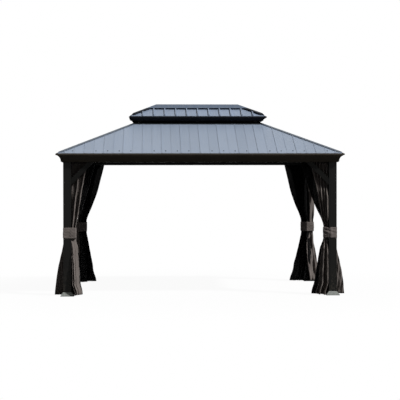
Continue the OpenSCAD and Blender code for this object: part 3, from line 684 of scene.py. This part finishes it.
def lay_flat(piece, across, down):
    """Writes each point's place on the flat cloth, in metres, to a UV map."""
    layer = piece.data.uv_layers.new(name="flat")
    measure = np.stack(np.broadcast_arrays(across, down), axis=-1).reshape(-1, 2)
    loops = np.zeros(len(piece.data.loops), np.int32)
    piece.data.loops.foreach_get("vertex_index", loops)
    layer.data.foreach_set("uv", measure[loops].ravel().astype(np.float32))


def thicken(piece, thickness):
    """Gives a sheet its thickness, evenly on both faces."""
    solid = piece.modifiers.new("thickness", "SOLIDIFY")
    solid.thickness = thickness
    solid.offset = 0.0


def hang_sheet(name, corner, points, width, length, material, thickness):
    """Turns rows of points into one sheet at a corner, with its flat measure and its thickness."""
    piece = grid_piece(name, points[None])
    across = np.linspace(0.0, width, points.shape[1])
    down = np.linspace(length, 0.0, points.shape[0])
    lay_flat(piece, across[None, :], down[:, None])
    thicken(piece, thickness)
    piece.data.materials.append(material)
    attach(piece, "root")
    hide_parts("curtain_" + corner)


def by_corner(*values):
    """Four values by the names of their corners, the front left one first."""
    return dict(zip(corner_names, values))


cloth_top = beam_under - 0.0008
cloth_length, net_length = 1.970, 1.966
cloth_thickness, net_thickness, tie_thickness = 0.0012, 0.0004, 0.0022
cloth_finish = taupe_cloth("taupe_cloth", cloth_taupe, cloth_length, 0.032, 0.35)
# Sheets along the front and rear, and along the sides: the flat width, and the columns of cloth and net
flat_width = {False: 1.92, True: 1.31}
cloth_columns, net_columns = {False: 280, True: 190}, {False: 240, True: 164}
cloth_rows, net_rows = 66, 46
# How far each bundle reaches along the front or rear opening, at the track and at the ground, how much
# fuller a net hangs half-way up, and the reach of the side arms, which are alike
net_fan = by_corner(0.330, 0.380, 0.362, 0.352)
net_belly = by_corner(0.0, 0.0, 0.016, 0.024)
net_skirt = by_corner(0.150, 0.245, 0.250, 0.295)
cloth_fan = by_corner(0.245, 0.265, 0.290, 0.290)
cloth_skirt = by_corner(0.155, 0.190, 0.190, 0.200)
side_cloth_fan, side_cloth_skirt, side_net_fan, side_net_skirt = 0.250, 0.175, 0.285, 0.185
# Folds above and below the tie: how many, which of them stand out, and the opened flanks with their turn
long_pleats = {
    "front_left": ((22, (12, 21), {25: 0.76}), (11, (5, 10), {21: 0.72})),
    "front_right": ((22, (0, 3, 6, 9, 17, 21), {0: 0.68, 6: 0.72, 12: 0.64, 18: 0.74, 34: 0.90}),
                    (11, (0, 6), {0: 0.90, 12: 0.90})),
    "rear_left": ((22, (2, 8, 14, 21), {}), (11, (1, 5, 10), {21: 0.92})),
    "rear_right": ((22, (1, 6, 12, 21), {}), (11, (0, 5, 10), {21: 0.92})),
}
side_pleats = dict.fromkeys(corner_names, ((15, (0, 5, 10), {}), (8, (0, 4), {15: 0.95})))
side_pleats["rear_right"] = ((15, (0, 5, 10), {}), (8, (0, 4), {15: 0.45}))
# How far a tie's face turns in beside its post, how far it reaches from the post's outer faces and stays
# clear of the cloth, how far the arms swing out at the ground, which of them are held out above the tie,
# and how deep the cross creases are where they are deeper than elsewhere
tie_slant = {"front_right": 0.034}
tie_far = by_corner(0.183, 0.183, 0.197, 0.197)
tie_gap = 0.004
long_bell = 0.016
side_bell = by_corner(0.032, 0.048, 0.034, 0.048)
blown_out = {("front_right", False): 0.024, ("rear_right", True): 0.028}
ruck_size = {("front_left", False): 0.005, ("rear_right", True): 0.005}
plain_ruck = 0.0015

for number, (corner, swap) in enumerate((c, s) for c in corner_names for s in (False, True)):
    rng = np.random.default_rng(4100 + number)
    phase = rng.uniform(0.0, 1.0)
    fan = side_cloth_fan if swap else cloth_fan[corner]
    skirt = side_cloth_skirt if swap else cloth_skirt[corner]
    bell = side_bell[corner] if swap else long_bell
    blown = blown_out.get((corner, swap), 0.0)
    wide = 1.0 if swap and corner == "rear_right" else 0.0
    aside = 0.0 if swap else 0.85 * tie_slant.get(corner, 0.0)
    held = tie_far[corner] - post_side - tie_gap
    width = flat_width[swap]
    place = "_side" if swap else "_long"

    z = z_cloth = np.linspace(cloth_top, cloth_top - cloth_length, cloth_rows)
    arm_skew = float(swap) * through(z, [
        (0.0, 0.060), (0.5, 0.040), (0.84, 0.0), (1.03, 0.0), (1.4, 0.030), (1.75, 0.010), (2.0, 0.0)])
    cloth = {
        "recess": 0.54,
        "start": post_side + through(z, [
            (0.0, 0.046), (0.075, 0.046), (0.16, 0.004), (0.5, 0.001), (2.0, 0.001)]),
        "span": through(z, [
            (0.0, skirt - 0.044), (0.30, 0.62 * skirt + 0.02), (0.70, held + 0.032), (0.84, held + 0.001),
            (1.03, held - 0.001), (1.14, held + 0.028), (1.55, 0.58 * fan + 0.01), (1.99, fan)]),
        "depth": through(z, [
            (0.0, 0.150 + 0.06 * wide), (0.40, 0.125 + 0.06 * wide), (0.72, 0.086 + 0.03 * wide),
            (0.84, 0.064), (1.03, 0.064), (1.20, 0.086), (1.82, 0.088), (1.93, 0.068), (2.0, 0.066)]),
        "middle": through(z, [
            (0.0, -bell + 0.025 * wide), (0.35, 0.020 - 0.7 * bell + 0.04 * wide),
            (0.68, 0.034 + 0.03 * wide), (0.80, 0.038 + aside), (1.05, 0.038 + aside), (1.25, 0.052 - blown),
            (1.50, 0.058 - blown), (1.64, 0.078), (1.82, 0.079), (1.93, 0.070), (2.0, 0.068)]),
        "waves": through(z, [
            (0.0, 0.020), (0.4, 0.016), (0.80, 0.005), (0.86, 0.001), (1.02, 0.001), (1.15, 0.006),
            (1.45, 0.010), (1.66, 0.004), (2.0, 0.002)]),
        "skew": arm_skew + blown * float(not swap) * through(z, [
            (0.0, 0.4), (0.3, 2.4), (0.7, 2.0), (0.80, 0.0), (1.05, 0.0), (1.18, 3.2), (1.48, 3.2),
            (1.60, 0.0), (2.0, 0.0)]),
        "creases": (3.0 if swap else 1.0) * (1.0 + wide) * through(z, [
            (0.0, 0.0030), (0.7, 0.0024), (0.86, 0.0008), (1.02, 0.0008), (1.2, 0.0022), (1.7, 0.0020),
            (1.95, 0.0004), (2.0, 0.0)]),
        "pitch": crease_pitch + 0.050 * wide,
        "rucks": ruck_size.get((corner, swap), plain_ruck) * through(z, [
            (0.0, 0.8), (0.6, 1.0), (0.80, 1.0), (0.86, 0.1), (1.02, 0.1), (1.12, 0.6), (1.4, 0.3),
            (2.0, 0.0)]),
        "opening": 1.0 - float(corner == "front_left" and not swap) * through(z, [
            (0.0, 0.0), (1.36, 0.0), (1.56, 1.0), (2.0, 1.0)]),
    }
    columns = cloth_columns[swap]
    a, b = bundle(z, width, (side_pleats if swap else long_pleats)[corner], columns, cloth, phase, rng)
    lift = 0.012 * np.linspace(0.0, 1.0, columns) * through(z, [
        (0.0, 1.0), (1.0, 0.6), (1.9, 0.0), (2.0, 0.0)])[:, None]
    points = at_corners(a, b, z[:, None] + lift, swap)[corner_names.index(corner)]
    hang_sheet("cloth_" + corner + place, corner, points, width, cloth_length, cloth_finish, cloth_thickness)

    fan = side_net_fan if swap else net_fan[corner]
    belly = 0.0 if swap else net_belly[corner]
    skirt = side_net_skirt - 0.06 * wide if swap else net_skirt[corner]
    billow = 0.0 if swap else 1.1 * blown
    z = np.linspace(cloth_top, cloth_top - net_length, net_rows)
    net = {
        "recess": 0.10,
        "start": post_side + through(z, [
            (0.0, 0.046), (0.075, 0.046), (0.16, 0.012), (0.9, 0.004), (1.1, 0.004), (1.5, 0.016),
            (2.0, 0.026)]),
        "span": through(z, [
            (0.0, 0.94 * skirt - 0.03), (0.30, 0.63 * skirt + 0.02), (0.70, held + 0.026 + billow),
            (0.84, held - 0.004), (1.03, held - 0.006), (1.14, held + 0.028 + 0.3 * belly),
            (1.34, 0.056 + 0.33 * fan + belly), (1.55, 0.68 * fan + belly), (1.99, 1.01 * fan)]),
        "depth": through(z, [
            (0.0, 0.118), (0.40, 0.084), (0.72, 0.050), (0.84, 0.040), (1.03, 0.040), (1.4, 0.050),
            (1.7, 0.040), (2.0, 0.038)]),
        "middle": through(z, [
            (0.0, 0.144 - 0.3 * bell - 0.02 * wide), (0.35, 0.138 - 0.5 * bell - 0.05 * wide),
            (0.80, 0.096 + 0.6 * aside), (1.05, 0.096 + 0.6 * aside), (1.25, 0.136), (1.55, 0.144),
            (1.64, 0.152), (1.82, 0.149), (1.93, 0.126), (2.0, 0.122)]),
        "waves": np.interp(z, [0.0, 0.4, 0.8, 1.02, 1.15, 1.45, 1.66, 2.0],
                           [0.020, 0.016, 0.004, 0.001, 0.006, 0.010, 0.004, 0.002]),
        "skew": np.interp(z, z_cloth[::-1], arm_skew[::-1]),
        "creases": through(z, [
            (0.0, 0.0030), (0.7, 0.0024), (0.86, 0.0005), (1.02, 0.0005), (1.2, 0.0020), (2.0, 0.0)]),
        "pitch": crease_pitch,
        "rucks": np.zeros_like(z),
        "opening": np.ones_like(z),
    }
    net_pleats = ((17, (0,), {}), (8, (0,), {})) if swap else ((25, (0,), {}), (12, (0,), {}))
    a, b = bundle(z, width, net_pleats, net_columns[swap], net, phase, rng)
    points = at_corners(a, b, z[:, None], swap)[corner_names.index(corner)]
    hang_sheet("net_" + corner + place, corner, points, width, net_length, net_black, net_thickness)


# Ties: a broad band of the same cloth round each post and its two bundles, with turned and stitched
# edges. It is drawn tight, so it creases, and its end laps over its start, where it is pressed closed.
# Its colour is a lighter copy of the curtains', painted light.
tie_height = tie_high.z - tie_low.z
tie_turned = 0.085
tie_finish = taupe_cloth("taupe_tie", tie_taupe, tie_height, 0.010, 0.0)


def band_path(corners, bend, count):
    """A closed path round a polygon with rounded corners: straight runs joined by arcs of one radius,
    spaced evenly; gives the points and their outward directions."""
    ahead = np.roll(corners, -1, axis=0) - corners
    ahead /= np.linalg.norm(ahead, axis=1, keepdims=True)
    outward = np.stack([ahead[:, 1], -ahead[:, 0]], axis=1)
    before = np.roll(outward, 1, axis=0)
    first = np.arctan2(before[:, 1], before[:, 0])
    turn = np.mod(np.arctan2(outward[:, 1], outward[:, 0]) - first, 2 * math.pi)
    angles = first[:, None] + turn[:, None] * np.linspace(0.0, 1.0, 9)
    arcs = np.stack([np.cos(angles), np.sin(angles)], axis=-1).reshape(-1, 2)
    points = np.repeat(corners, 9, axis=0) + bend * arcs
    loop = np.vstack([points, points[:1]])
    normals = np.vstack([arcs, arcs[:1]])
    run = np.concatenate([[0.0], np.cumsum(np.linalg.norm(np.diff(loop, axis=0), axis=1))])
    even = np.linspace(0.0, run[-1], count, endpoint=False)
    path = np.stack([np.interp(even, run, loop[:, k]) for k in (0, 1)], axis=1)
    facing = np.stack([np.interp(even, run, normals[:, k]) for k in (0, 1)], axis=1)
    return path, facing / np.linalg.norm(facing, axis=1, keepdims=True), even, run[-1]


tie_lap, lap_rise, lap_ramp = 0.060, 0.0034, 0.03
tie_rows, tie_columns, path_points = 29, 260, 400
tie_bend, tie_pull = 0.0012, 0.014
crush_at, crush_wide = 0.160, 0.045
lap_start = by_corner(0.120, 0.085, 0.62, 0.62)
crushed = {"front_right": 1.8}
for number, corner in enumerate(corner_names):
    rng = np.random.default_rng(5200 + number)
    phase = rng.uniform(0.0, 6.28, 6)
    slant = tie_slant.get(corner, 0.0)
    far = tie_far[corner]
    outline = [[0.0, 0.0], [tie_turned, 0.0]] if slant else [[0.0, 0.0]]
    outline += [[far, slant], [far, post_side + 0.6 * slant], [post_side, far], [0.0, far]]
    path, facing, even, around = band_path(np.array(outline), tie_bend, path_points)
    level = np.linspace(0.0, 1.0, tie_rows)[:, None]
    run = np.linspace(0.0, around + tie_lap, tie_columns)
    lift = lap_rise * np.clip((run - around + lap_ramp) / lap_ramp, 0.0, 1.0)
    pulled = np.where(run > 0.5 * around, tie_pull, 0.0)
    where = np.mod(run + lap_start[corner] + (level - 0.5) * pulled, around)
    ease = np.sin(math.pi * np.clip(level, 0.02, 0.98)) ** 0.5
    crush = crushed.get(corner, 0.0) * ease * np.exp(-((where - crush_at) / crush_wide) ** 2)
    # Three sets of slanting creases, from broad to fine
    crease = (0.0015 * np.sin(5 * level + where * 26 + phase[0])
              + 0.0012 * np.sin(13 * level - where * 47 + phase[1] + 2.0 * np.sin(4 * level + phase[4]))
              + 0.0008 * np.sin(22 * level + where * 71 + phase[5] + 2.0 * np.sin(54 * where)))
    bulge = 0.0012 + lift + 0.0016 * ease + 0.0024 * crush + (ease + crush) * crease
    circle = 2 * math.pi * where / around
    edge = 0.0032 * np.sin(3 * circle + phase[2]) + 0.0018 * np.sin(7 * circle + phase[3])
    loop = np.append(even, around)
    x, y = (np.interp(where, loop, np.append(path[:, k], path[0, k]))
            + np.interp(where, loop, np.append(facing[:, k], facing[0, k])) * bulge for k in (0, 1))
    height = tie_low.z + level * tie_height + edge * (level - 0.5) * 1.4
    points = at_corners(x, y, height, False)[number]
    tie = grid_piece("tie_band_" + corner, points[None])
    lay_flat(tie, run[None, :], level * tie_height)
    thicken(tie, tie_thickness)
    tie.data.materials.append(tie_finish)
    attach(tie, "root")
    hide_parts("tie_" + corner)


# Studio: a pale floor that keeps the shadow, a white surround, a soft sun from the front right and a dim
# even sky, with the camera where the photograph was taken from.

def seen_rays(tree):
    """Masks of the rays straight from the camera, and of those with the mirrored and transmitted ones."""
    rays = put(tree, "LightPath")
    straight = rays.outputs["Is Camera Ray"]
    bounced = maths(tree, "MAXIMUM", rays.outputs["Is Glossy Ray"], rays.outputs["Is Transmission Ray"])
    return straight, maths(tree, "MAXIMUM", straight, bounced)


stage = bpy.context.scene
world = bpy.data.worlds.new("studio")
stage.world = world
world.use_nodes = True
world_tree = world.node_tree
surround = world_tree.nodes["Background"]
seen = seen_rays(world_tree)[1]
sky_level = 0.055
world_tree.links.new(ramp(world_tree, seen, 0.0, 1.0, sky_level, 1.0), surround.inputs["Strength"])
surround.inputs["Color"].default_value = (1.0, 1.0, 1.0, 1.0)

floor_half = 60.0
floor_points = np.array([[[-1, -1, 0], [1, -1, 0]], [[-1, 1, 0], [1, 1, 0]]], float)[None] * floor_half
floor = grid_piece("floor", floor_points)
floor_material, floor_tree, floor_shader = new_finish("pale_floor", Roughness=0.9, Specular_IOR_Level=0.0)
floor_glow = put(floor_tree, "Emission", {"Strength": 1.0})
floor_straight, floor_seen = seen_rays(floor_tree)
floor_tree.links.new(
    mix_colours(floor_tree, floor_straight, (0.10, 0.10, 0.10, 1.0), (0.95, 0.95, 0.95, 1.0)),
    floor_shader.inputs["Base Color"])
floor_mix = put(floor_tree, "MixShader")
floor_far = put(floor_tree, "VectorMath", operation="LENGTH")
floor_tree.links.new(object_coordinates(floor_tree), floor_far.inputs[0])
floor_white = ramp(floor_tree, floor_far.outputs["Value"], 2.2, 5.5, 0.95, 1.0)
floor_tree.links.new(maths(floor_tree, "MULTIPLY", floor_seen, floor_white), floor_mix.inputs[0])
floor_tree.links.new(floor_shader.outputs[0], floor_mix.inputs[1])
floor_tree.links.new(floor_glow.outputs[0], floor_mix.inputs[2])
floor_tree.links.new(floor_mix.outputs[0], floor_tree.nodes["Material Output"].inputs["Surface"])
floor.data.materials.append(floor_material)

key_data = bpy.data.lights.new("key", "SUN")
key_data.energy = 3.25
key_data.angle = math.radians(5)
key = bpy.data.objects.new("key", key_data)
key.rotation_euler = Euler((math.radians(44), 0.0, math.radians(58)))
stage.collection.objects.link(key)

camera_data = bpy.data.cameras.new("camera")
camera_data.sensor_width = 36.0
camera_data.lens = 111.24
camera_data.clip_end = 200.0
camera = bpy.data.objects.new("camera", camera_data)
camera.location = (-0.711, -19.733, 1.645)
camera.rotation_euler = Euler((math.radians(89.30), math.radians(0.07), math.radians(-2.2)))
stage.collection.objects.link(camera)
stage.camera = camera
stage.view_settings.view_transform = "Standard"

bpy.context.view_layer.update()
